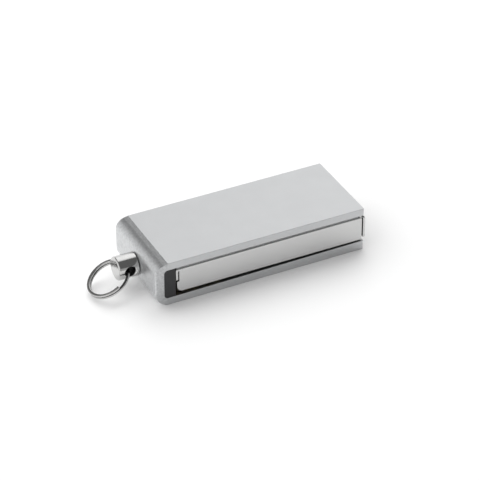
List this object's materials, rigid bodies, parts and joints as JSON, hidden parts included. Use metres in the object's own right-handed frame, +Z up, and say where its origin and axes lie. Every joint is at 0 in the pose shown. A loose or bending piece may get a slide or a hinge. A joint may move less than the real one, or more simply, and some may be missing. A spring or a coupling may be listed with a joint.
{
  "type": "usb flash drive",
  "caption": "Pocket USB flash drive: a U-shaped aluminium cover, a steel tray that swings out of it with the memory module, and a turned post with a split ring.",
  "frame": {"origin": "middle of the cover's flat underside", "axes": "+X along the cover from its closed end (post and ring) to its open end, +Y across it, +Z up through the pivot pin"},
  "size_m": [0.0373, 0.0124, 0.0064],
  "materials": {
    "cover_aluminium": "fine bead-blasted, clear anodised",
    "block_plastic": "moulded, fine spark-eroded texture",
    "tray_steel": "stamped stainless sheet, tumbled satin",
    "pin_steel": "turned, faced end",
    "washer_nylon": "punched nylon",
    "bush_brass": "turned",
    "board_mask": "dark green solder mask",
    "contact_gold": "hard gold plate",
    "mould_resin": "black moulding compound",
    "silicon": "polished",
    "capacitor_ceramic": "fired ceramic, tinned ends",
    "resistor_ceramic": "glazed film on ceramic",
    "crystal_can": "plated lid",
    "bond_film": "cured adhesive",
    "post_chrome": "turned and bright plated",
    "ring_chrome": "flattened wire, bright plated"
  },
  "bodies": {
    "cover": {"cover_shell": "cover_aluminium", "end_block": "block_plastic", "pivot_pin": "pin_steel", "pivot_washer_upper": "washer_nylon", "pivot_washer_lower": "washer_nylon"},
    "tray": {"chip_tray": "tray_steel", "tail_block": "block_plastic", "pivot_bush": "bush_brass", "bonding_pad": "bond_film", "module_substrate": "board_mask", "contact_vbus": "contact_gold", "contact_d_minus": "contact_gold", "contact_d_plus": "contact_gold", "contact_gnd": "contact_gold", "module_mould": "mould_resin", "controller_die": "silicon", "memory_die_lower": "silicon", "memory_die_upper": "silicon", "capacitors": "capacitor_ceramic", "resistors": "resistor_ceramic", "crystal": "crystal_can"},
    "key_post": {"key_post": "post_chrome", "post_washer": "pin_steel"},
    "ring": {"split_ring": "ring_chrome"}
  },
  "joints": [
    {"name": "tray_swing", "type": "hinge", "parent": "cover", "child": "tray", "pos_m": [0.01098, 0, 0.0033], "axis": [0, 0, 1], "continuous": true},
    {"name": "post_turn", "type": "hinge", "parent": "cover", "child": "key_post", "pos_m": [-0.0152, 0, 0.00322], "axis": [1, 0, 0], "continuous": true},
    {"name": "ring_swing", "type": "hinge", "parent": "key_post", "child": "ring", "pos_m": [-0.01653, 0, 0.00322], "axis": [0, 1, 0], "range_deg": [-71, 127]}
  ]
}
